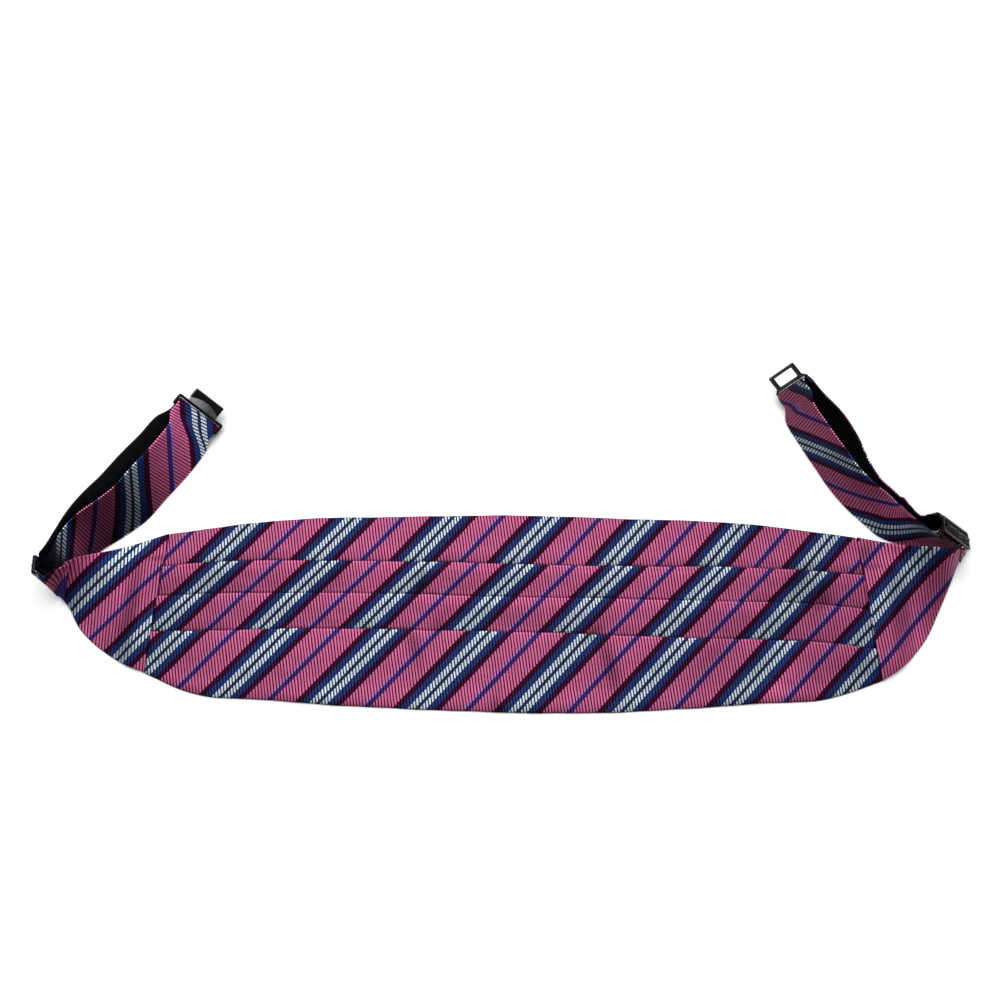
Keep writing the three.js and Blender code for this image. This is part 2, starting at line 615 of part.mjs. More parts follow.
// Eye: the strap's ring carried on as a window for the hook, with a ribbed bar between them.
function eye() {
  const frame = hardwareFrame(CLASP_PLACE.right, 'right');
  const slotEnd = STRAP_BAR / 2 + STRAP_SLOT;
  const middleBar = 2.5;
  const windowStart = slotEnd + middleBar;
  const windowDepth = 7;
  const frontBar = 2.3;
  const sideBar = 3;
  const half = HARDWARE_LENGTH / 2;
  const frontHalf = WINDOW_WIDTH / 2 + sideBar;
  const front = windowStart + windowDepth + frontBar;
  const shape = new THREE.Shape();
  shape.moveTo(-half + 1.6, -STRAP_BAR / 2);
  shape.lineTo(half - 1.6, -STRAP_BAR / 2);
  shape.quadraticCurveTo(half, -STRAP_BAR / 2, half, -STRAP_BAR / 2 + 1.6);
  shape.lineTo(half, slotEnd);
  shape.lineTo(frontHalf, windowStart);
  shape.lineTo(frontHalf, front - 1.4);
  shape.quadraticCurveTo(frontHalf, front, frontHalf - 1.4, front);
  shape.lineTo(-frontHalf + 1.4, front);
  shape.quadraticCurveTo(-frontHalf, front, -frontHalf, front - 1.4);
  shape.lineTo(-frontHalf, windowStart);
  shape.lineTo(-half, slotEnd);
  shape.lineTo(-half, -STRAP_BAR / 2 + 1.6);
  shape.quadraticCurveTo(-half, -STRAP_BAR / 2, -half + 1.6, -STRAP_BAR / 2);
  shape.holes.push(roundedRect(new THREE.Path(), SLOT_LENGTH, STRAP_BAR / 2, slotEnd, 0.7));
  shape.holes.push(roundedRect(new THREE.Path(), WINDOW_WIDTH, windowStart, windowStart + windowDepth, 0.8));
  const ridge = new THREE.BoxGeometry(WINDOW_WIDTH, 1.2, 1.2);
  ridge.translate(0, windowStart - 1.0, PLATE / 2);
  const solid = toManifold(bevelledPlate(shape, PLATE)).add(toManifold(ridge));
  return placeHardware(fromManifold(solid), frame, 'right');
}

// Materials
function patternedCloth() {
  return new THREE.MeshStandardMaterial({ color: 0xa8457e, roughness: 0.55 });
}

function blackSatin() {
  return new THREE.MeshStandardMaterial({ color: 0x101014, roughness: 0.45 });
}

function blackMetal() {
  return new THREE.MeshStandardMaterial({ color: 0x1c1e20, roughness: 0.35, metalness: 0.4 });
}

// Assembly
const group = new THREE.Group();
const assembly = new THREE.Group();

function addPiece(name, geometry, material) {
  const mesh = new THREE.Mesh(geometry, material);
  mesh.name = name;
  assembly.add(mesh);
}

addPiece('pleated_front', pleatedFront(), patternedCloth());
for (const side of ['left', 'right']) {
  addPiece(`wing_${side}`, wing(side), patternedCloth());
  addPiece(`strap_${side}`, strap(side), patternedCloth());
  addPiece(`strap_lining_${side}`, strapLining(side), blackSatin());
  addPiece(`slider_${side}`, slider(side), blackMetal());
}
addPiece('hook', hook(), blackMetal());
addPiece('eye', eye(), blackMetal());

// The origin goes to the middle of the part's box, on the floor.
const box = new THREE.Box3().setFromObject(assembly);
assembly.position.set(-(box.min.x + box.max.x) / 2, -(box.min.y + box.max.y) / 2, -box.min.z);
group.add(assembly);

export default group;
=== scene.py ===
# Dresses the cummerbund: striped satin pleats, curled wings, lined strap loops and black hardware.
# The part's tables and sizes are in millimetres and become metres where a mesh is made.

import math

import bpy
import numpy as np
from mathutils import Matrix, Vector


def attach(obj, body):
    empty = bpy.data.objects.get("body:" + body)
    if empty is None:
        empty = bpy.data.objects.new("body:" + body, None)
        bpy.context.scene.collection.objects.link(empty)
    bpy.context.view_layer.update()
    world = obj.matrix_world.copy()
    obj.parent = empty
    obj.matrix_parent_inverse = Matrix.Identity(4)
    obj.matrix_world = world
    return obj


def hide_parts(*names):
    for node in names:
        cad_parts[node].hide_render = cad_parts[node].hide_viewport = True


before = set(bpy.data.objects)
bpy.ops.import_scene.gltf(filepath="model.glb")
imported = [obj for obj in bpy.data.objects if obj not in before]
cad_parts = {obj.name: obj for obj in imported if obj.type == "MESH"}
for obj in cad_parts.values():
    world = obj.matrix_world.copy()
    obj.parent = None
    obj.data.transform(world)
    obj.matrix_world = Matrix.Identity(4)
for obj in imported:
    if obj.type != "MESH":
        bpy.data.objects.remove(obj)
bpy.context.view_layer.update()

# Sizes that the part's source has too
HALF_SPAN = 300.0
BODY_HEIGHT = 130.0
STRAP_WIDTH = 31.75
FLOOR_CLEARANCE = 0.1
SEAM_COVER = 5.0
HARDWARE_LENGTH = STRAP_WIDTH + 4.25
SLIDER_SPACING = 5.2
WRAP_RADIUS = 3.4
WEAVE_DEPTH = 2.0
TURN_RADIUS = 2.5
STRAP_INSET = (HARDWARE_LENGTH - STRAP_WIDTH) / 2

# From the part's tables to its own frame, whose origin is in the middle of its box
SHIFT = np.array([0.3226, -49.2409, 0.0])
METRES = 0.001

# Sizes of the dressed cloth
CLOTH = 0.8
WING_CLOTH = 0.9
GAP = 0.2
PITCH = CLOTH + GAP
PLEAT_OVERLAP = 4.5
PLEAT_SWELL = 0.35
# Painted highlight on each fold's edge, a factor on the cloth's colour
FOLD_LIGHT = 1.35
# Places from each fold, in millimetres, where rows carry the painted crease shade
CREASE_PLACES = [2.6, 2.0, 1.5, 1.1, 0.7, 0.2, -1.0]
WRAP_REACH = 4.65
LINING_INSET = 0.15
LINING_THICKNESS = 0.7
RIB_PITCH = 2.0
PATTERN_REPEAT = 65.5

# Lengths that the places across and along a wing are spread over
WING_LENGTH = 62.0
WING_DEPTH = 96.0

# The lining starts and ends this far from where the strap turns at the slider.
LINING_START = 3.0
LINING_END = 4.0
TURN_END_SECTION = 17

# The painted reflection on the hook's neck plate, a grey arc: metres from the clasp's bar, and its bend
# per metre
NECK_START = 0.0072
NECK_END = 0.0124
NECK_BEND = 26.0

# Camera and light
CAMERA_ELEVATION = 72
CAMERA_DISTANCE = 769.0
CAMERA_TARGET = np.array([-8.4, 77.7, 0.0])
CAMERA_LENS = 41.4
STUDIO_LIGHT = 0.27
SOFTBOX_PLACE = (-0.08, 0.40, 1.15)
SOFTBOX_SIZE = 1.35
SOFTBOX_POWER = 22.7

PLEAT_ROWS = [
    dict(at=0.00, top=0.414, fold1=0.243, fold2=0.090, fold3=-0.088, bottom=-0.295),
    dict(at=0.07, top=0.451, fold1=0.265, fold2=0.102, fold3=-0.085, bottom=-0.397),
    dict(at=0.16, top=0.485, fold1=0.274, fold2=0.108, fold3=-0.076, bottom=-0.426),
    dict(at=0.33, top=0.506, fold1=0.269, fold2=0.102, fold3=-0.079, bottom=-0.464),
    dict(at=0.50, top=0.511, fold1=0.256, fold2=0.087, fold3=-0.091, bottom=-0.489),
    dict(at=0.67, top=0.495, fold1=0.242, fold2=0.074, fold3=-0.112, bottom=-0.482),
    dict(at=0.84, top=0.466, fold1=0.237, fold2=0.061, fold3=-0.131, bottom=-0.443),
    dict(at=0.93, top=0.431, fold1=0.219, fold2=0.048, fold3=-0.145, bottom=-0.417),
    dict(at=1.00, top=0.395, fold1=0.197, fold2=0.020, fold3=-0.175, bottom=-0.338),
]

# Each wing from its seam (at 0) to its tip (at 1), as shares of HALF_SPAN, BODY_HEIGHT and
# STRAP_WIDTH. The last column is the power of the curl from the lower to the upper edge.
WING_COLUMNS = ("at", "low_out", "low_up", "high_out", "high_up", "rise", "lift", "curl")
WING_ROWS = {
    "left": [
        (0.00, 0.783, -0.292, 0.757, 0.414, 0.00, 0.00, 2.2),
        (0.17, 0.820, -0.262, 0.800, 0.377, 0.03, 0.00, 2.2),
        (0.36, 0.860, -0.212, 0.845, 0.334, 0.16, 0.00, 2.1),
        (0.54, 0.900, -0.146, 0.883, 0.304, 0.27, 0.00, 1.8),
        (0.70, 0.933, -0.069, 0.912, 0.281, 0.39, 0.01, 1.5),
        (0.85, 0.957, 0.027, 0.933, 0.256, 0.54, 0.03, 1.2),
        (1.00, 0.977, 0.080, 0.954, 0.212, 0.74, 0.05, 1.0),
    ],
    "right": [
        (0.00, 0.780, -0.336, 0.757, 0.395, 0.00, 0.00, 2.2),
        (0.15, 0.817, -0.285, 0.803, 0.366, 0.09, 0.00, 2.2),
        (0.29, 0.853, -0.215, 0.840, 0.342, 0.25, 0.00, 2.1),
        (0.44, 0.888, -0.118, 0.873, 0.323, 0.41, 0.00, 1.9),
        (0.58, 0.917, 0.000, 0.900, 0.308, 0.57, 0.00, 1.6),
        (0.73, 0.947, 0.138, 0.925, 0.292, 0.72, 0.02, 1.3),
        (0.88, 0.968, 0.240, 0.941, 0.282, 0.85, 0.04, 1.0),
        (1.00, 0.979, 0.288, 0.955, 0.286, 0.90, 0.08, 1.0),
    ],
}

# The inner layer of each strap loop, from beside the slider to beside the clasp.
STRAP_COLUMNS = ("out", "up", "lean", "toward", "gap")
STRAP_ROWS = {
    "left": [
        (0.943, 0.238, 58, 112, 0.14),
        (0.900, 0.331, 51, 124, 0.22),
        (0.857, 0.400, 45, 133, 0.32),
        (0.813, 0.481, 41, 138, 0.38),
        (0.770, 0.608, 40, 141, 0.38),
        (0.727, 0.735, 40, 144, 0.36),
        (0.693, 0.858, 41, 147, 0.31),
    ],
    "right": [
        (0.935, 0.340, 47, 150, 0.16),
        (0.890, 0.345, 51, 128, 0.20),
        (0.847, 0.362, 56, 102, 0.20),
        (0.808, 0.400, 60, 75, 0.15),
        (0.776, 0.469, 63, 50, 0.14),
        (0.744, 0.545, 65, 40, 0.17),
        (0.712, 0.642, 66, 32, 0.26),
        (0.681, 0.767, 67, 27, 0.38),
        (0.650, 0.899, 68, 20, 0.42),
        (0.623, 1.031, 69, 10, 0.32),
    ],
}

SLIDER_PLACE = {
    "left": dict(
        out=0.9890, up=0.114, lift=0.110, turn=45, approach=3.5,
        axis=(-0.050, 0.097, 0.994), heading=(-0.060, 0.993, -0.100),
    ),
    "right": dict(
        out=0.9987, up=0.329, lift=0.101, turn=95, approach=-3.0,
        axis=(-0.694, 0.131, 0.707), heading=(0.041, 0.989, -0.141),
    ),
}
CLASP_PLACE = {
    "left": dict(
        out=0.6687, up=0.951, lift=0.113,
        axis=(-0.700, 0.430, 0.570), heading=(0.620, 0.742, 0.241),
    ),
    "right": dict(
        out=0.6153, up=1.146, lift=0.082,
        axis=(0.320, -0.020, 0.947), heading=(-0.610, 0.751, 0.244),
    ),
}

# Where the stripes fall on each pleat: the place of a double white band's middle and the sideways
# run of a stripe for each step up the cloth.
PLEAT_CLOTH = [
    dict(x=13, y=51, slope=0.89),
    dict(x=2, y=26, slope=1.0),
    dict(x=-17, y=6, slope=0.96),
    dict(x=-21, y=-18, slope=0.93),
]

# The same for each wing, with the ribs' sideways run and how far the stripes follow the curl
WING_CLOTH_PLACE = {
    "left": dict(x=-259, y=32, repeat=62, slope=0.9, lean=0.0, follow=0.5),
    "right": dict(x=241, y=9, repeat=64, slope=0.9, lean=0.1, follow=0.1),
}

# Stripes along each strap: distance along it, stripe repeats there in mid-width, and the run of
# a stripe along the strap for each step across it.
STRAP_STRIPE_COLUMNS = ("at", "repeats", "slope")
STRAP_STRIPE_ROWS = {
    "left": [(4, -3.5, -0.6), (20, -3.2, -0.9), (180, -1.0, -1.1), (250, -0.05, -0.9), (322, 1.1, -0.9)],
    "right": [(5, -3.3, 0.9), (170, -1.1, 0.9), (205, -0.55, 1.0), (250, 0.15, 1.35), (344, 1.4, 2.0)],
}

# Painted light and shade along each strap, for its cloth and for its two rims: above 1 a painted
# highlight, below 1 painted shade
STRAP_LIGHT_COLUMNS = ("at", "light", "rim")
STRAP_LIGHT_ROWS = {
    "left": [
        (0, 1.3, 2), (4, 1.3, 4), (15, 1.1, 4.5), (18, 0.25, 0.5), (36, 0.5, 0.05), (150, 0.9, 0.05),
        (175, 1.6, 2.5), (190, 2.4, 5), (215, 1.3, 5), (235, 0.85, 3.5), (255, 0.3, 4.5), (280, 0.25, 5),
        (292, 0.45, 5), (302, 1.2, 2.5), (309, 0.8, 1.2), (314, 0.08, 0.1), (322, 0.08, 0.1),
    ],
    "right": [
        (0, 0.4, 0.6), (5, 0.12, 0.3), (22, 0.12, 0.4), (37, 0.6, 4.5), (100, 0.9, 4.5), (150, 0.6, 0.6),
        (165, 0.4, 0.8), (185, 0.5, 4), (200, 0.65, 5), (235, 0.8, 5), (250, 0.6, 5), (270, 0.7, 5),
        (290, 1.1, 5), (305, 1.4, 4), (340, 0.8, 2),
    ],
}
STRAP_SKEW = {"left": 0.17, "right": -0.17}

# Soft dents in the cloth with painted light and shade: place, half lengths along and across, turn,
# depth, and how much painted shade darkens the cloth (below zero a painted highlight). Rows
# with no depth are painted light and shade only.
DENT_AND_LIGHT_COLUMNS = ("x", "y", "along", "across", "turn", "depth", "dark")
FRONT_DENTS_AND_PAINTED_LIGHT = [
    (-60, 20, 8, 4, 55, 0.9, 0.7),
    (-63, -23, 11, 4.5, 105, 0.6, 0.5),
    (-48, -8, 9, 4, 60, 0.5, 0.4),
    (62, -35, 15, 5, 103, 0.7, 0.6),
    (52, -12, 10, 4, 50, 0.5, 0.5),
    (201, 10, 10, 6, 60, 0.7, 0.6),
    (188, 22, 12, 6, 50, 0.5, 0.45),
    (-10, -60, 8, 4.5, 105, 0.2, 0.55),
    (-150, -40, 26, 9, 20, 0.6, 0.2),
    (-118, 22, 14, 5, 50, 0.3, 0.3),
    (130, -30, 28, 8, 50, 0.6, 0.2),
    (-20, 52, 170, 11, 0, 0.0, 0.12),
    (112, 17, 45, 9, 0, 0.0, -0.2),
    (170, -42, 22, 9, 60, 0.0, -0.45),
    (-150, -28, 40, 12, 0, 0.0, -0.15),
]
# The wings' rows have no depth: they are painted light and shade only.
WING_PAINTED_LIGHT = {
    "left": [
        (-268.0, 36.0, 18.0, 7.0, 25, 0.0, -1.10),
        (-256.0, -14.0, 16.0, 7.0, 60, 0.0, 0.25),
        (-232.0, 22.0, 20.0, 8.0, 60, 0.0, 0.15),
    ],
    "right": [
        (254.0, -23.0, 16.0, 8.0, 65, 0.0, -0.60),
        (231.0, 40.0, 12.0, 8.0, 50, 0.0, 0.55),
        (249.0, 22.0, 14.0, 8.0, 50, 0.0, 0.10),
        (283.0, 38.0, 8.0, 5.0, 60, 0.0, -0.40),
    ],
}


def as_table(rows, columns):
    return [dict(zip(columns, row)) for row in rows]


def clamp(value, low=0.0, high=1.0):
    return max(low, min(high, value))


def mix(a, b, share):
    return a + (b - a) * share


def ease_between(value, start, end):
    share = clamp((value - start) / (end - start))
    return share * share * (3 - 2 * share)


def unit(vector):
    vector = np.asarray(vector, float)
    return vector / max(np.linalg.norm(vector), 1e-9)


def read_row(rows, at, column):
    """Smooth curve through the rows of a table, read at one place for one column."""
    last = len(rows) - 1

    def slope(i):
        return (rows[i + 1][column] - rows[i][column]) / (rows[i + 1]["at"] - rows[i]["at"])

    def tangent(i):
        if i == 0:
            return slope(0)
        if i == last:
            return slope(last - 1)
        before = rows[i]["at"] - rows[i - 1]["at"]
        after = rows[i + 1]["at"] - rows[i]["at"]
        return (slope(i - 1) * after + slope(i) * before) / (before + after)

    i = 0
    while i < last - 1 and at > rows[i + 1]["at"]:
        i += 1
    span = rows[i + 1]["at"] - rows[i]["at"]
    t = clamp((at - rows[i]["at"]) / span)
    t2 = t * t
    t3 = t2 * t
    return (
        (2 * t3 - 3 * t2 + 1) * rows[i][column]
        + (t3 - 2 * t2 + t) * span * tangent(i)
        + (3 * t2 - 2 * t3) * rows[i + 1][column]
        + (t3 - t2) * span * tangent(i + 1)
    )


def pleat_levels(at):
    level = {c: read_row(PLEAT_ROWS, at, c) * BODY_HEIGHT for c in PLEAT_ROWS[0] if c != "at"}
    return dict(top=level["top"], bottom=level["bottom"],
                folds=[level["fold1"], level["fold2"], level["fold3"]])


def wing_point(side, rows, at, across):
    sign = -1 if side == "left" else 1
    read = {c: read_row(rows, at, c) for c in WING_COLUMNS if c != "at"}
    x = sign * HALF_SPAN * mix(read["low_out"], read["high_out"], across)
    y = BODY_HEIGHT * mix(read["low_up"], read["high_up"], across)
    seam = pleat_levels(0 if side == "left" else 1)
    cover = 1 - ease_between(at, 0.13, 0.34)
    rise = mix(read["lift"], read["rise"], across ** read["curl"]) * STRAP_WIDTH
    z = WING_CLOTH / 2 + FLOOR_CLEARANCE + cover * (pleat_height(y, seam) + GAP) + rise
    return np.array([x, y, z])


def pleat_height(y, levels):
    """Height of the smooth cloth that bridges the pleats' steps at y."""
    up = 1 - ease_between(y, levels["folds"][0] + 1.0, levels["folds"][0] + 9.0)
    down = ease_between(y, levels["folds"][2] - 28.0, levels["folds"][2] - PLEAT_OVERLAP - 2.0)
    return CLOTH + up * down * 2 * PITCH


def seam_x(side, y):
    row = dict(zip(WING_COLUMNS, WING_ROWS[side][0]))
    sign = -1 if side == "left" else 1
    share = (y / BODY_HEIGHT - row["low_up"]) / (row["high_up"] - row["low_up"])
    return sign * HALF_SPAN * mix(row["low_out"], row["high_out"], share)


def hardware_frame(place, side):
    axis = unit(place["axis"])
    heading = np.array(place["heading"], float)
    heading = unit(heading - axis * heading.dot(axis))
    out = np.cross(heading, axis)
    sign = -1 if side == "left" else 1
    foot = np.array([
        sign * place["out"] * HALF_SPAN, place["up"] * BODY_HEIGHT, place["lift"] * STRAP_WIDTH])
    return foot, axis, heading, sign * out


def strap_sections(side):
    """Lower and upper edge of the strap, from the wing's tip through the slider, along the outer
    layer, round the clasp's bar and back along the inner layer to the slider's middle bar."""
    sign = -1 if side == "left" else 1
    slider = hardware_frame(SLIDER_PLACE[side], side)
    clasp = hardware_frame(CLASP_PLACE[side], side)

    def at_hardware(hardware, across, outward):
        foot, axis, heading, out = hardware
        low = foot + heading * across + out * outward + axis * STRAP_INSET
        return low, low + axis * STRAP_WIDTH

    def at_slider(across, outward):
        return at_hardware(slider, SLIDER_SPACING + across, outward)

    wing_rows = as_table(WING_ROWS[side], WING_COLUMNS)
    lead = at_slider(-SLIDER_SPACING - 2.6, -WEAVE_DEPTH)
    clear = (WING_CLOTH + CLOTH) / 2 + 0.15

    def under_wing(at, across):
        """A place under the wing's cloth, inside its tip."""
        tip = wing_point(side, wing_rows, at, across)
        along = tip - wing_point(side, wing_rows, at - 0.03, across)
        upward = wing_point(side, wing_rows, at, 0.8) - wing_point(side, wing_rows, at, 0.2)
        return tip - unit(np.cross(along, upward)) * (-sign) * clear

    sections = [(under_wing(at, 0.04), under_wing(at, 0.96)) for at in (0.93, 0.985)]
    sections.append(lead)
    for step in range(-4, 5):
        share = step / 4
        sections.append(at_slider(share * SLIDER_SPACING, WEAVE_DEPTH * math.cos(math.pi * share)))
    for step in range(6):
        angle = math.radians(90 - SLIDER_PLACE[side]["turn"] * step / 5)
        sections.append(at_slider(
            SLIDER_SPACING + 2.2 + TURN_RADIUS * math.cos(angle),
            -WEAVE_DEPTH - TURN_RADIUS + TURN_RADIUS * math.sin(angle)))
    rows = as_table(STRAP_ROWS[side], STRAP_COLUMNS)
    plan = [np.array([sign * row["out"] * HALF_SPAN, row["up"] * BODY_HEIGHT]) for row in rows]
    run = []
    for i, row in enumerate(rows):
        ahead = unit(plan[min(i + 1, len(plan) - 1)] - plan[max(i - 1, 0)])
        outward = np.array([-ahead[1], ahead[0], 0]) * (1 if side == "left" else -1)
        lean = math.radians(row["lean"])
        toward = math.radians(row["toward"])
        axis = np.array([
            math.cos(lean) * math.cos(toward), math.cos(lean) * math.sin(toward), math.sin(lean)])
        rest = np.array([plan[i][0], plan[i][1], CLOTH / 2 + FLOOR_CLEARANCE])
        run.append((rest, outward * row["gap"] * STRAP_WIDTH, axis * STRAP_WIDTH))
    sections += [(rest + gap, rest + gap + width) for rest, gap, width in run]
    sections.append(at_hardware(clasp, -5, WRAP_RADIUS))
    for step in range(7):
        angle = math.radians(90 - 30 * step)
        sections.append(at_hardware(
            clasp, WRAP_REACH * math.cos(angle), WRAP_RADIUS * math.sin(angle)))
    sections.append(at_hardware(clasp, -5, -WRAP_RADIUS))
    sections += [(rest, rest + width) for rest, gap, width in reversed(run)]
    approach = SLIDER_PLACE[side]["approach"]
    sections.append(at_slider(approach, -WEAVE_DEPTH - 3.6))
    sections.append(at_slider(approach / 6, -WEAVE_DEPTH - 0.2))
    return sections


def refine(sections, step):
    """Evenly refined sections: distance along the strap, lower edge, upper edge, section number."""
    distance = 0.0
    rows = []
    for i, (low, high) in enumerate(sections):
        if i:
            distance += (np.linalg.norm(low - sections[i - 1][0])
                         + np.linalg.norm(high - sections[i - 1][1])) / 2
        row = dict(at=distance)
        for axis in range(3):
            row["low%d" % axis] = low[axis]
            row["high%d" % axis] = high[axis]
        rows.append(row)
    refined = []
    for i, row in enumerate(rows):
        pieces = 1 if i == 0 else max(1, round((row["at"] - rows[i - 1]["at"]) / step))
        for piece in range(1, pieces + 1):
            at = 0.0 if i == 0 else mix(rows[i - 1]["at"], row["at"], piece / pieces)
            low = np.array([read_row(rows, at, "low%d" % axis) for axis in range(3)])
            high = np.array([read_row(rows, at, "high%d" % axis) for axis in range(3)])
            lift = max(0.0, CLOTH / 2 + FLOOR_CLEARANCE - low[2])
            low[2] += lift
            high[2] += lift
            refined.append((at, low, high, i - 1 + piece / pieces))
    return refined


# Cloth surfaces

def wave(place, seed):
    """Slow uneven wave of about -1 to 1 along a length in millimetres."""
    return (
        0.5 * np.sin(0.047 * place + 1.3 * seed)
        + 0.3 * np.sin(0.113 * place + 2.1 * seed)
        + 0.2 * np.sin(0.261 * place + 3.7 * seed)
    )


def grid_normals(grid):
    along = np.empty_like(grid)
    along[1:-1] = grid[2:] - grid[:-2]
    along[0] = grid[1] - grid[0]
    along[-1] = grid[-1] - grid[-2]
    across = np.empty_like(grid)
    across[:, 1:-1] = grid[:, 2:] - grid[:, :-2]
    across[:, 0] = grid[:, 1] - grid[:, 0]
    across[:, -1] = grid[:, -1] - grid[:, -2]
    normals = np.cross(along, across)
    return normals / np.maximum(np.linalg.norm(normals, axis=2, keepdims=True), 1e-9)


def edge_places(length, inner, radius=0.6):
    """Places across a cloth, close together at both edges so that these can be round."""
    near = [0.0, 0.12 * radius, 0.4 * radius, radius]
    middle = list(np.linspace(radius, length - radius, inner)[1:-1])
    return np.array(near + middle + [length - place for place in reversed(near)])


def edge_roundness(places, length, radius=0.6):
    distance = np.minimum(places, length - places)
    share = np.clip(distance / radius, 0, 1)
    return np.maximum(np.sqrt(np.clip(1 - (1 - share) ** 2, 0, 1)), 0.2)


def sheet_object(name, grid, half, cloth, shade, material):
    """Closed cloth between two skins. The row by column arrays are the middle surface, half the
    thickness, what the weave reads (rib number, stripe repeats and run along the ribs) and the
    painted light multiplied into the cloth's colour: painted shade below 1, as in a crease, and a
    painted highlight above 1, as on a fold's edge or a strap's rim."""
    rows, columns = grid.shape[:2]
    normals = grid_normals(grid)
    thickness = half[:, :, None]
    skins = np.stack([grid + normals * thickness, grid - normals * thickness])
    points = (skins.reshape(-1, 3) + SHIFT) * METRES
    number = np.arange(2 * rows * columns).reshape(2, rows, columns)
    front, back = number
    faces = []

    def add(a, b, c, d):
        faces.append(np.stack([a, b, c, d], axis=-1).reshape(-1, 4))

    add(front[:-1, :-1], front[1:, :-1], front[1:, 1:], front[:-1, 1:])
    add(back[:-1, :-1], back[:-1, 1:], back[1:, 1:], back[1:, :-1])
    add(front[:-1, 0], back[:-1, 0], back[1:, 0], front[1:, 0])
    add(front[:-1, -1], front[1:, -1], back[1:, -1], back[:-1, -1])
    add(front[0, :-1], front[0, 1:], back[0, 1:], back[0, :-1])
    add(front[-1, :-1], back[-1, :-1], back[-1, 1:], front[-1, 1:])
    mesh = bpy.data.meshes.new(name)
    mesh.from_pydata(points.tolist(), [], np.concatenate(faces).tolist())
    mesh.polygons.foreach_set("use_smooth", np.ones(len(mesh.polygons), bool))
    attribute = mesh.attributes.new("cloth", "FLOAT_VECTOR", "POINT")
    attribute.data.foreach_set("vector", np.stack([cloth, cloth]).astype(np.float32).ravel())
    attribute = mesh.attributes.new("shade", "FLOAT", "POINT")
    attribute.data.foreach_set("value", np.stack([shade, shade]).astype(np.float32).ravel())
    mesh.update()
    piece = bpy.data.objects.new(name, mesh)
    bpy.context.scene.collection.objects.link(piece)
    piece.data.materials.append(material)
    return piece


# Pleated front

def crease_shade(above):
    """Painted shade on the cloth at a distance above the fold that lies over it."""
    return mix(0.45, 0.76, ease_between(above, 0.9, 1.8)) + 0.24 * ease_between(above, 1.6, 9.0)


def gentle_drop(share):
    """Even slope from 0 to 1 with soft ends."""
    return mix(share, ease_between(share, 0, 1), 0.4)


def pleat_path(levels, swell):
    """Centre line of the folded cloth as rows of y, z, shade and pleat. The pleat is a number
    that runs from one pleat's to the next one's where the cloth is hidden."""
    base = CLOTH / 2
    radius = PITCH / 2
    crown = base + 2 * PITCH
    path = []

    def run(start, end, z, count, pleat, shade_at):
        for step in range(count):
            y = mix(start, end, step / count)
            path.append((y, z, shade_at(y), pleat))

    def turn(y, z, start, end, steps, first, last, shade):
        for step in range(steps + 1):
            share = step / steps
            angle = math.radians(mix(start, end, share))
            path.append((y + radius * math.cos(angle), z + radius * math.sin(angle),
                         mix(0.3, shade, ease_between(share, 0.5, 0.9)), mix(first, last, share)))

    for place in (0.0, 0.07, 0.24):
        path.append((levels["top"] - place, base, 1.0, 0))
    start = levels["top"] - 0.6
    for k, fold in enumerate(levels["folds"]):
        run(start, fold + CREASE_PLACES[0], base, 12 if k == 0 else 3, k,
            lambda y: crease_shade(y - fold))
        for above in CREASE_PLACES[:-1]:
            path.append((fold + above, base, crease_shade(above), k))
        # Painted shade on the cloth hidden under the fold and in its turn
        run(fold + CREASE_PLACES[-1], fold - PLEAT_OVERLAP + radius, base, 3, k, lambda y: 0.4)
        turn(fold - PLEAT_OVERLAP + radius, base + radius, -90, -270, 4, k, k + 0.5, 0.3)
        turn(fold - CLOTH / 2 - radius, base + PITCH + radius, -90, 90, 8, k + 1, k + 1, FOLD_LIGHT)
        shoulder = fold - PLEAT_OVERLAP - 1
        top = fold - CLOTH / 2 - radius
        following = levels["folds"][k + 1] if k < 2 else levels["bottom"]
        start = following + CREASE_PLACES[0] + 0.6 if k < 2 else mix(shoulder, following, 0.7)
        for step in range(1, 8):
            share = (step / 8) ** 1.5
            # Painted highlight that fades from the fold's edge
            light = mix(FOLD_LIGHT, 1.0, ease_between(share * (top - shoulder), 0.3, 1.0))
            z = crown + swell * math.sin(math.pi / 2 * share)
            path.append((mix(top, shoulder, share), z, light, k + 1))
        for step in range(14):
            share = step / 14
            y = mix(shoulder, start, share)
            light = crease_shade(y - following) if k < 2 else 1.0
            path.append((y, mix(crown + swell, base, gentle_drop(share)), light, k + 1))
    # Painted shade darkens the cloth over the last few millimetres above the bottom edge
    run(start, levels["bottom"] + 0.6, base, 12, 3,
        lambda y: 0.7 + 0.3 * ease_between(y - levels["bottom"], 0.5, 7.0))
    for place in (0.6, 0.24, 0.07, 0.0):
        path.append((levels["bottom"] + place, base, 0.6, 3))
    path = np.array(path)
    return path[:, :2], path[:, 2], path[:, 3]


def rib_lean(x):
    """Sideways run of the ribs for each step up the front."""
    return np.tan(np.radians(7.8 - 0.011 * x))


def pleat_pattern(x, path, pleat):
    """What the weave reads along one section of the front."""
    step = np.linalg.norm(np.diff(path, axis=0), axis=1)
    run = np.concatenate([[0.0], np.cumsum(step)])
    on_pleat = []
    for k, cloth in enumerate(PLEAT_CLOTH):
        own = np.where(pleat == k)[0]
        reference = own[len(own) // 2]
        y = path[reference, 0] + run[reference] - run
        stripe = (x - cloth["x"] - cloth["slope"] * (y - cloth["y"])) / PATTERN_REPEAT
        rib = (x + rib_lean(x) * y) / RIB_PITCH
        on_pleat.append((rib, stripe))
    lower = np.floor(pleat).astype(int)
    upper = np.minimum(lower + 1, 3)
    share = pleat - lower
    columns = np.arange(len(pleat))
    rib = np.array([pair[0] for pair in on_pleat])
    stripe = np.array([pair[1] for pair in on_pleat])
    return np.stack([
        mix(rib[lower, columns], rib[upper, columns], share),
        mix(stripe[lower, columns], stripe[upper, columns], share),
        -run,
    ], axis=-1)


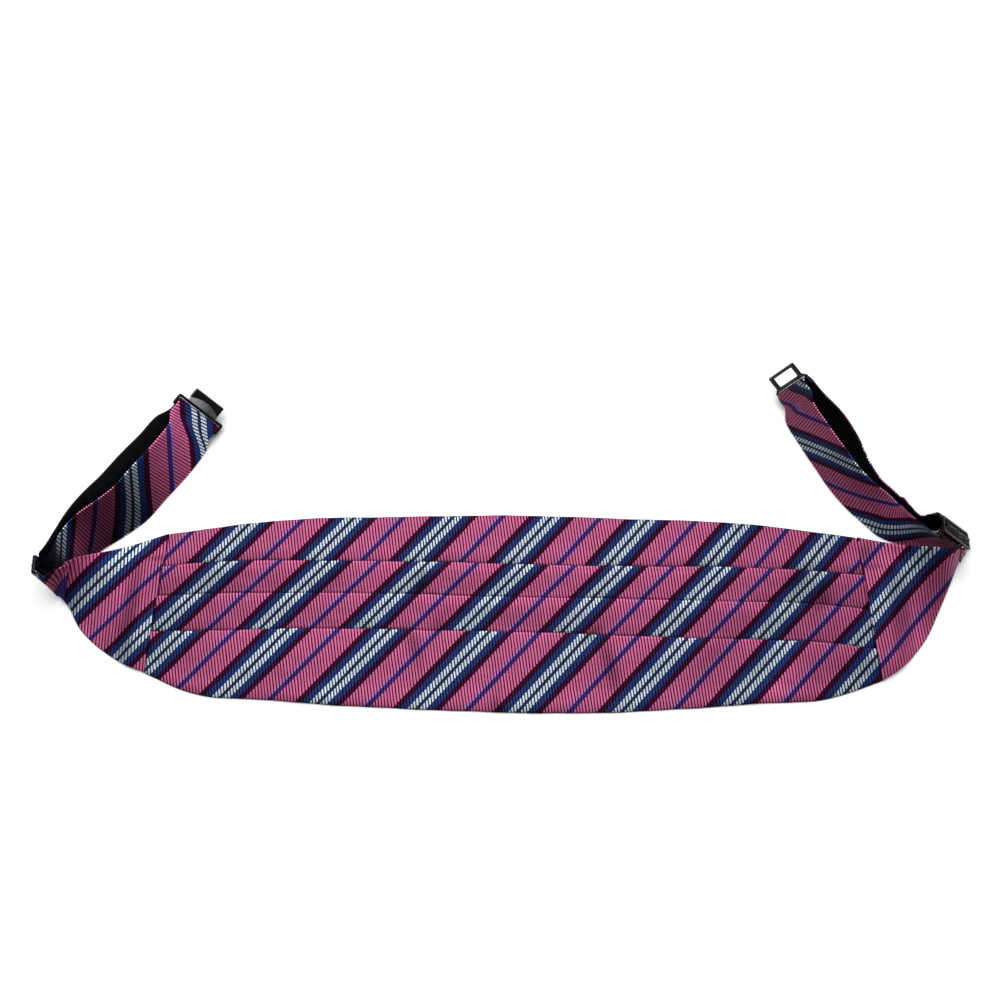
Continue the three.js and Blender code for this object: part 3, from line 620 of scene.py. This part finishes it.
def dents_and_painted_light_at(patches, x, y):
    """How far the dents lower the cloth at a place, and the factor of painted shade and painted
    highlight on its colour there.
    """
    depth = np.zeros_like(x)
    light = np.ones_like(x)
    for patch in as_table(patches, DENT_AND_LIGHT_COLUMNS):
        turn = math.radians(patch["turn"])
        along = (x - patch["x"]) * math.cos(turn) + (y - patch["y"]) * math.sin(turn)
        across = -(x - patch["x"]) * math.sin(turn) + (y - patch["y"]) * math.cos(turn)
        near = np.exp(-((along / patch["along"]) ** 2 + (across / patch["across"]) ** 2))
        depth += patch["depth"] * near
        light *= 1 - patch["dark"] * near
    return depth, light


def pleated_front(material):
    length = 2 * HALF_SPAN * WING_ROWS["left"][0][3]
    seam_share = SEAM_COVER / (length + 2 * SEAM_COVER)
    stations = 236
    grid = []
    cloth = []
    shades = []
    for station in range(stations + 1):
        along = station / stations
        at = clamp((along - seam_share) / (1 - 2 * seam_share))
        ends = ease_between(along, 0.03, 0.12) * (1 - ease_between(along, 0.88, 0.97))
        swell = PLEAT_SWELL * ends * (1 + math.sin(17 * along)) / 2
        levels = pleat_levels(at)
        middle = mix(-length / 2, length / 2, along)
        under_wing = SEAM_COVER * max(0.0, seam_share - along, along - 1 + seam_share) / seam_share
        levels["top"] += 0.35 * wave(middle, 1) - 1.1 * under_wing
        levels["bottom"] += 0.4 * wave(middle, 2) + 0.7 * under_wing
        levels["folds"] = [fold + 0.35 * wave(middle, 3 + k) for k, fold in enumerate(levels["folds"])]
        path, shade, pleat = pleat_path(levels, swell)
        left = np.array([seam_x("left", y) - SEAM_COVER for y in path[:, 0]])
        right = np.array([seam_x("right", y) + SEAM_COVER for y in path[:, 0]])
        x = mix(left, right, along)
        cloth.append(pleat_pattern(x, path, pleat))
        raised = np.clip((path[:, 1] - CLOTH / 2) / (2 * PITCH), 0, 1)
        depth, light = dents_and_painted_light_at(FRONT_DENTS_AND_PAINTED_LIGHT, x, path[:, 0])
        # The painted crease shade grows stronger and weaker along the front in a slow wave
        crease_shade_power = np.clip(0.55 + 0.6 * wave(x, 12 + pleat), 0, 1)
        shades.append(light * np.where(shade < 1, shade ** (0.6 + crease_shade_power), shade))
        z = path[:, 1] - raised * depth
        z = z + ends * 0.5 * (1 - raised) * (0.5 + 0.5 * wave(x + 1.4 * path[:, 0], 9))
        grid.append(np.stack([x, path[:, 0], z], axis=-1))
    grid = np.array(grid)
    half = np.full(grid.shape[:2], CLOTH / 2)
    profile = [0.2, 0.48, 0.8]
    half[:, :3] *= profile
    half[:, -3:] *= profile[::-1]
    cloth = np.array(cloth)
    shade = np.array(shades)
    grid, half, cloth, shade = (values[:, ::-1] for values in (grid, half, cloth, shade))
    return sheet_object("front_pleats", grid, half, cloth, shade, material)


# Wings

def wing(side, material):
    rows = as_table(WING_ROWS[side], WING_COLUMNS)
    stations = edge_places(WING_LENGTH, 46) / WING_LENGTH
    places = edge_places(WING_DEPTH, 62) / WING_DEPTH
    grid = np.array([[wing_point(side, rows, at, across) for across in places] for at in stations])
    half = np.full(grid.shape[:2], WING_CLOTH / 2)
    half *= edge_roundness(stations * WING_LENGTH, WING_LENGTH)[:, None]
    half *= edge_roundness(places * WING_DEPTH, WING_DEPTH)[None, :]
    step = np.linalg.norm(np.diff(grid, axis=1), axis=2)
    run = np.concatenate([np.zeros((len(stations), 1)), np.cumsum(step, axis=1)], axis=1)
    x = grid[:, :, 0]
    base = WING_CLOTH_PLACE[side]
    y = mix(grid[:, :, 1], grid[:, :1, 1] + run, base["follow"])
    stripe = (x - base["x"] - base["slope"] * (y - base["y"])) / base["repeat"]
    rib = (x + base["lean"] * y) / RIB_PITCH
    cloth = np.stack([rib, stripe, run], axis=-1)
    # Painted light and shade patches on the wing cloth
    shade = dents_and_painted_light_at(WING_PAINTED_LIGHT[side], x, grid[:, :, 1])[1]
    if side == "left":
        grid, half, cloth, shade = grid[::-1], half[::-1], cloth[::-1], shade[::-1]
    return sheet_object("wing_cloth_" + side, grid, half, cloth, shade, material)


# Straps

def strap_grid(sections, places):
    low = np.array([section[1] for section in sections])
    high = np.array([section[2] for section in sections])
    share = (places / STRAP_WIDTH)[None, :, None]
    return low[:, None] + (high - low)[:, None] * share


def strap(side, material):
    sections = refine(strap_sections(side), 0.5)
    at = np.array([section[0] for section in sections])
    places = edge_places(STRAP_WIDTH, 12, 0.7)
    grid = strap_grid(sections, places)
    ribs = 0.5 + 0.5 * np.cos(2 * np.pi * at / RIB_PITCH)
    half = (CLOTH / 2 - 0.05 + 0.12 * ribs)[:, None]
    half = half * edge_roundness(places, STRAP_WIDTH, 0.7)[None, :]
    rows = as_table(STRAP_STRIPE_ROWS[side], STRAP_STRIPE_COLUMNS)
    known = [row["at"] for row in rows]
    slope = np.interp(at, known, [row["slope"] for row in rows])
    across = places[None, :] - STRAP_WIDTH / 2
    stripe = np.interp(at[:, None] - slope[:, None] * across, known, [row["repeats"] for row in rows])
    rib = (at[:, None] - STRAP_SKEW[side] * across) / RIB_PITCH
    cloth = np.stack([rib, stripe, np.broadcast_to(places, grid.shape[:2])], axis=-1)
    edge = np.minimum(places, STRAP_WIDTH - places)
    rows = as_table(STRAP_LIGHT_ROWS[side], STRAP_LIGHT_COLUMNS)
    known = [row["at"] for row in rows]
    light = np.interp(at, known, [row["light"] for row in rows])
    # Painted light on both rims, dotted by the ribs
    rim = np.interp(at, known, [row["rim"] for row in rows]) * (0.25 + 0.75 * ribs ** 2)
    shade = mix(light[:, None], rim[:, None], np.clip(1.0 - edge / 0.7, 0, 1)[None, :])
    return sheet_object("strap_cloth_" + side, grid, half, cloth, shade, material)


def strap_lining(side, material):
    all_sections = strap_sections(side)
    sections = refine(all_sections, 1.0)
    places = edge_places(STRAP_WIDTH - 2 * LINING_INSET, 10, 0.5) + LINING_INSET
    grid = strap_grid(sections, places)
    inward = 1 if side == "left" else -1
    grid = grid + grid_normals(grid) * inward * (CLOTH / 2 + LINING_THICKNESS / 2 + 0.15)
    turned = next(section[0] for section in sections if section[3] >= TURN_END_SECTION)
    returned = next(section[0] for section in sections if section[3] >= len(all_sections) - 3)
    start = turned + LINING_START
    end = returned - LINING_END
    kept = [i for i, section in enumerate(sections) if start < section[0] < end]
    grid = grid[kept[0]:kept[-1] + 1]
    half = np.full(grid.shape[:2], LINING_THICKNESS / 2)
    half *= edge_roundness(places - LINING_INSET, STRAP_WIDTH - 2 * LINING_INSET, 0.5)[None, :]
    along = np.arange(len(grid), dtype=float)
    cloth = np.stack([
        np.broadcast_to(along[:, None], grid.shape[:2]),
        np.broadcast_to(places, grid.shape[:2]),
        np.zeros(grid.shape[:2]),
    ], axis=-1)
    return sheet_object("strap_back_" + side, grid, half, cloth, np.ones(grid.shape[:2]), material)


# Materials

STRIPES = [
    # start of the stripe in repeats from the middle of a double white band, rib and gap colours;
    # the darker gap colour is partly the weave's own and partly painted shade in the groove between ribs
    (0.00, (25, 42, 66), (8, 17, 34)),
    (0.02, (158, 166, 176), (34, 44, 60)),
    (0.09, (26, 42, 88), (12, 20, 52)),
    (0.17, (44, 6, 36), (16, 1, 14)),
    (0.24, (160, 80, 115), (76, 18, 46)),
    (0.43, (140, 88, 136), (66, 26, 66)),
    (0.47, (50, 32, 92), (22, 11, 46)),
    (0.53, (160, 80, 115), (76, 18, 46)),
    (0.76, (44, 6, 36), (16, 1, 14)),
    (0.83, (26, 42, 88), (12, 20, 52)),
    (0.91, (158, 166, 176), (34, 44, 60)),
    (0.98, (25, 42, 66), (8, 17, 34)),
]


def linear(colour):
    """Linear light of a colour given as three values from 0 to 255."""
    channels = [value / 255 for value in colour]
    light = [c / 12.92 if c <= 0.04045 else ((c + 0.055) / 1.055) ** 2.4 for c in channels]
    return tuple(light) + (1.0,)


def node(tree, kind, **settings):
    made = tree.nodes.new(kind)
    for name, value in settings.items():
        setattr(made, name, value)
    return made


def math_node(tree, operation, first, second=None, third=None):
    made = node(tree, "ShaderNodeMath", operation=operation)
    for socket, value in zip(made.inputs, (first, second, third)):
        if value is None:
            continue
        if isinstance(value, (int, float)):
            socket.default_value = value
        else:
            tree.links.new(value, socket)
    return made.outputs[0]


def colour_ramp(tree, value, stops, interpolation):
    ramp = node(tree, "ShaderNodeValToRGB")
    ramp.color_ramp.interpolation = interpolation
    elements = ramp.color_ramp.elements
    while len(elements) > 1:
        elements.remove(elements[-1])
    elements[0].position = stops[0][0]
    elements[0].color = stops[0][1]
    for position, colour in stops[1:]:
        elements.new(position).color = colour
    tree.links.new(value, ramp.inputs["Fac"])
    return ramp.outputs["Color"]


def ribbed_stripes_group():
    """Ribbed weave: from rib number, stripe repeats and run, the colour and the height."""
    group = bpy.data.node_groups.new("ribbed_stripes", "ShaderNodeTree")
    group.interface.new_socket("Cloth", in_out="INPUT", socket_type="NodeSocketVector")
    group.interface.new_socket("Color", in_out="OUTPUT", socket_type="NodeSocketColor")
    group.interface.new_socket("Height", in_out="OUTPUT", socket_type="NodeSocketFloat")
    group.interface.new_socket("Rib", in_out="OUTPUT", socket_type="NodeSocketFloat")
    inner = node(group, "NodeGroupInput")
    outer = node(group, "NodeGroupOutput")
    split = node(group, "ShaderNodeSeparateXYZ")
    group.links.new(inner.outputs["Cloth"], split.inputs[0])
    rib, stripe, run = split.outputs

    uneven = node(group, "ShaderNodeTexNoise", noise_dimensions="2D")
    uneven.inputs["Scale"].default_value = 1.0
    uneven.inputs["Detail"].default_value = 2.0
    place = node(group, "ShaderNodeCombineXYZ")
    group.links.new(math_node(group, "MULTIPLY", rib, 0.35), place.inputs[0])
    group.links.new(math_node(group, "MULTIPLY", run, 0.12), place.inputs[1])
    group.links.new(place.outputs[0], uneven.inputs["Vector"])
    shake = math_node(group, "MULTIPLY_ADD", uneven.outputs[0], 0.3, -0.15)
    number = math_node(group, "ADD", rib, shake)

    from_middle = math_node(group, "SUBTRACT", math_node(group, "FRACT", number), 0.5)
    stepped = math_node(group, "MULTIPLY_ADD", from_middle, -0.25 * RIB_PITCH / PATTERN_REPEAT, stripe)
    phase = math_node(group, "FRACT", stepped)
    rib_stops = [(start, linear(colour)) for start, colour, gap in STRIPES]
    gap_stops = [(start, linear(gap)) for start, colour, gap in STRIPES]
    rib_colour = colour_ramp(group, phase, rib_stops, "CONSTANT")
    gap_colour = colour_ramp(group, phase, gap_stops, "CONSTANT")

    distance = math_node(group, "ABSOLUTE", from_middle)
    height = math_node(group, "SQRT", math_node(group, "SUBTRACT", 1.0, math_node(
        group, "POWER", math_node(group, "MULTIPLY", distance, 2.0), 2.6)))
    edge = node(group, "ShaderNodeMapRange", interpolation_type="SMOOTHSTEP")
    group.links.new(distance, edge.inputs["Value"])
    edge.inputs["From Min"].default_value = 0.22
    edge.inputs["From Max"].default_value = 0.36
    gap_share = edge.outputs[0]

    thread = math_node(group, "SINE", math_node(group, "MULTIPLY", run, 2 * math.pi / 0.42))
    thread_light = math_node(group, "MULTIPLY_ADD", thread, 0.02, 0.99)
    blotch = node(group, "ShaderNodeTexNoise", noise_dimensions="2D")
    blotch.inputs["Scale"].default_value = 0.9
    blotch.inputs["Detail"].default_value = 4.0
    group.links.new(place.outputs[0], blotch.inputs["Vector"])
    light = math_node(group, "MULTIPLY", thread_light, math_node(
        group, "MULTIPLY_ADD", blotch.outputs[0], 0.3, 0.85))

    # The gap colour, partly painted shade of the groove, fills between the ribs
    mixed = node(group, "ShaderNodeMix", data_type="RGBA")
    group.links.new(gap_share, mixed.inputs[0])
    group.links.new(rib_colour, mixed.inputs[6])
    group.links.new(gap_colour, mixed.inputs[7])
    lit = node(group, "ShaderNodeMix", data_type="RGBA", blend_type="MULTIPLY")
    lit.inputs[0].default_value = 1.0
    group.links.new(mixed.outputs[2], lit.inputs[6])
    group.links.new(light, lit.inputs[7])

    fine = math_node(group, "MULTIPLY", thread, 0.008)
    group.links.new(lit.outputs[2], outer.inputs["Color"])
    group.links.new(math_node(group, "ADD", height, fine), outer.inputs["Height"])
    group.links.new(math_node(group, "SUBTRACT", 1.0, gap_share), outer.inputs["Rib"])
    return group


def new_material(name, roughness):
    material = bpy.data.materials.new(name)
    material.use_nodes = True
    tree = material.node_tree
    shader = tree.nodes["Principled BSDF"]
    shader.inputs["Roughness"].default_value = roughness
    return material, tree, shader


def add_bump(tree, shader, height, depth):
    bump = node(tree, "ShaderNodeBump")
    bump.inputs["Strength"].default_value = 1.0
    bump.inputs["Distance"].default_value = depth
    tree.links.new(height, bump.inputs["Height"])
    tree.links.new(bump.outputs[0], shader.inputs["Normal"])


def striped_satin(group):
    material, tree, shader = new_material("striped_satin", 0.42)
    cloth = node(tree, "ShaderNodeAttribute", attribute_name="cloth")
    weave = node(tree, "ShaderNodeGroup")
    weave.node_tree = group
    tree.links.new(cloth.outputs["Vector"], weave.inputs["Cloth"])
    # The shade value multiplies painted light and shade into the cloth's colour
    shade = node(tree, "ShaderNodeAttribute", attribute_name="shade")
    shaded = node(tree, "ShaderNodeMix", data_type="RGBA", blend_type="MULTIPLY", clamp_result=True)
    shaded.inputs[0].default_value = 1.0
    tree.links.new(weave.outputs["Color"], shaded.inputs[6])
    tree.links.new(shade.outputs["Fac"], shaded.inputs[7])
    tree.links.new(shaded.outputs[2], shader.inputs["Base Color"])
    roughness = math_node(tree, "MULTIPLY_ADD", weave.outputs["Rib"], -0.12, 0.54)
    tree.links.new(roughness, shader.inputs["Roughness"])
    shader.inputs["Metallic"].default_value = 0.55
    shader.inputs["Specular IOR Level"].default_value = 0.05
    add_bump(tree, shader, weave.outputs["Height"], 0.00028)
    return material


def black_satin():
    material, tree, shader = new_material("black_satin", 0.4)
    place = node(tree, "ShaderNodeTexCoord")
    noise = node(tree, "ShaderNodeTexNoise")
    noise.inputs["Scale"].default_value = 260.0
    noise.inputs["Detail"].default_value = 3.0
    tree.links.new(place.outputs["Object"], noise.inputs["Vector"])
    stops = [(0.3, linear((3, 3, 5))), (0.75, linear((9, 9, 13)))]
    tree.links.new(colour_ramp(tree, noise.outputs[0], stops, "LINEAR"), shader.inputs["Base Color"])
    roughness = math_node(tree, "MULTIPLY_ADD", noise.outputs[0], 0.25, 0.3)
    tree.links.new(roughness, shader.inputs["Roughness"])
    cloth = node(tree, "ShaderNodeAttribute", attribute_name="cloth")
    split = node(tree, "ShaderNodeSeparateXYZ")
    tree.links.new(cloth.outputs["Vector"], split.inputs[0])
    threads = math_node(tree, "SINE", math_node(tree, "MULTIPLY", split.outputs[0], 2 * math.pi / 0.6))
    add_bump(tree, shader, threads, 0.00003)
    shader.inputs["Specular IOR Level"].default_value = 0.1
    return material


def enamel_noise(tree):
    place = node(tree, "ShaderNodeTexCoord")
    noise = node(tree, "ShaderNodeTexNoise")
    noise.inputs["Scale"].default_value = 420.0
    noise.inputs["Detail"].default_value = 4.0
    tree.links.new(place.outputs["Object"], noise.inputs["Vector"])
    return noise


def enamel_colour(tree, noise):
    stops = [(0.35, linear((4, 4, 5))), (0.7, linear((10, 11, 12)))]
    return colour_ramp(tree, noise.outputs[0], stops, "LINEAR")


def finish_enamel(tree, shader, noise):
    roughness = math_node(tree, "MULTIPLY_ADD", noise.outputs[0], 0.3, 0.2)
    tree.links.new(roughness, shader.inputs["Roughness"])
    add_bump(tree, shader, noise.outputs[0], 0.00004)
    shader.inputs["Specular IOR Level"].default_value = 0.18


def black_enamel():
    material, tree, shader = new_material("black_enamel", 0.32)
    noise = enamel_noise(tree)
    tree.links.new(enamel_colour(tree, noise), shader.inputs["Base Color"])
    finish_enamel(tree, shader, noise)
    return material


def distance_along(tree, foot, direction):
    """Distance of the shaded place from a foot, along a direction, in metres."""
    place = node(tree, "ShaderNodeTexCoord")
    away = node(tree, "ShaderNodeVectorMath", operation="SUBTRACT")
    away.inputs[1].default_value = foot
    tree.links.new(place.outputs["Object"], away.inputs[0])
    along = node(tree, "ShaderNodeVectorMath", operation="DOT_PRODUCT")
    along.inputs[1].default_value = direction
    tree.links.new(away.outputs["Vector"], along.inputs[0])
    return along.outputs["Value"]


def hook_enamel():
    """Black enamel with a painted reflection: a lighter grey arc on the hook's neck plate, beside its
    ring.
    """
    material, tree, shader = new_material("hook_enamel", 0.32)
    noise = enamel_noise(tree)
    foot, axis, heading = hardware_frame(CLASP_PLACE["left"], "left")[:3]
    middle = tuple((foot + axis * HARDWARE_LENGTH / 2 + SHIFT) * METRES)
    forward = distance_along(tree, middle, tuple(heading))
    sideways = distance_along(tree, middle, tuple(axis))
    bowed = math_node(tree, "MULTIPLY", sideways, sideways)
    reach = math_node(tree, "MULTIPLY_ADD", bowed, NECK_BEND, forward)
    beyond_ring = math_node(tree, "GREATER_THAN", forward, NECK_START)
    before_lip = math_node(tree, "LESS_THAN", reach, NECK_END)
    grain = math_node(tree, "MULTIPLY", noise.outputs[0], 0.25)
    painted_reflection_sweep = math_node(tree, "MULTIPLY_ADD", sideways, 28.0, grain)
    # Grey of the painted reflection, lighter towards one side of the plate
    stops = [(0.0, linear((66, 68, 70))), (0.5, linear((150, 152, 155)))]
    mixed = node(tree, "ShaderNodeMix", data_type="RGBA")
    tree.links.new(math_node(tree, "MULTIPLY", beyond_ring, before_lip), mixed.inputs[0])
    tree.links.new(enamel_colour(tree, noise), mixed.inputs[6])
    tree.links.new(colour_ramp(tree, painted_reflection_sweep, stops, "LINEAR"), mixed.inputs[7])
    tree.links.new(mixed.outputs[2], shader.inputs["Base Color"])
    finish_enamel(tree, shader, noise)
    return material


# Stage

def floor_material():
    material, tree, shader = new_material("pale_floor", 0.8)
    place = node(tree, "ShaderNodeTexCoord")
    noise = node(tree, "ShaderNodeTexNoise")
    noise.inputs["Scale"].default_value = 30.0
    tree.links.new(place.outputs["Object"], noise.inputs["Vector"])
    stops = [(0.3, linear((246, 246, 247))), (0.7, linear((250, 250, 251)))]
    tree.links.new(colour_ramp(tree, noise.outputs[0], stops, "LINEAR"), shader.inputs["Base Color"])
    return material


def add_floor():
    bpy.ops.mesh.primitive_plane_add(size=8.0, location=(0, 0, -0.0002))
    floor = bpy.context.active_object
    floor.name = "floor"
    floor.data.materials.append(floor_material())


def add_light(name, place, target, size, power):
    data = bpy.data.lights.new(name, "AREA")
    data.shape = "SQUARE"
    data.size = size
    data.energy = power
    light = bpy.data.objects.new(name, data)
    bpy.context.scene.collection.objects.link(light)
    light.location = place
    light.rotation_euler = (Vector(target) - Vector(place)).to_track_quat("-Z", "Y").to_euler()


def add_lights():
    world = bpy.data.worlds.new("soft_studio")
    bpy.context.scene.world = world
    world.use_nodes = True
    background = world.node_tree.nodes["Background"]
    background.inputs["Color"].default_value = (1.0, 1.0, 1.0, 1.0)
    background.inputs["Strength"].default_value = STUDIO_LIGHT
    add_light("softbox", SOFTBOX_PLACE, (0, 0, 0), SOFTBOX_SIZE, SOFTBOX_POWER)


def add_camera():
    elevation = math.radians(CAMERA_ELEVATION)
    toward = np.array([0, -math.cos(elevation), math.sin(elevation)])
    place = CAMERA_TARGET + CAMERA_DISTANCE * toward
    data = bpy.data.cameras.new("camera")
    data.sensor_width = 36.0
    data.lens = CAMERA_LENS
    data.clip_start = 0.01
    camera = bpy.data.objects.new("camera", data)
    bpy.context.scene.collection.objects.link(camera)
    camera.location = (place + SHIFT) * METRES
    camera.rotation_euler = (math.pi / 2 - elevation, 0, 0)
    bpy.context.scene.camera = camera


def finish_piece(piece, node_name):
    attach(piece, "root")
    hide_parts(node_name)


# Build

patterned = striped_satin(ribbed_stripes_group())
satin = black_satin()
enamel = black_enamel()

front = pleated_front(patterned)
finish_piece(front, "pleated_front")
for side in ("left", "right"):
    cloth = wing(side, patterned)
    finish_piece(cloth, "wing_" + side)
    cloth = strap(side, patterned)
    finish_piece(cloth, "strap_" + side)
    cloth = strap_lining(side, satin)
    finish_piece(cloth, "strap_lining_" + side)
for name in ("slider_left", "slider_right", "hook", "eye"):
    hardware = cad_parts[name]
    hardware.data.materials.clear()
    hardware.data.materials.append(hook_enamel() if name == "hook" else enamel)

add_floor()
add_lights()
add_camera()
bpy.context.scene.view_settings.view_transform = "Standard"
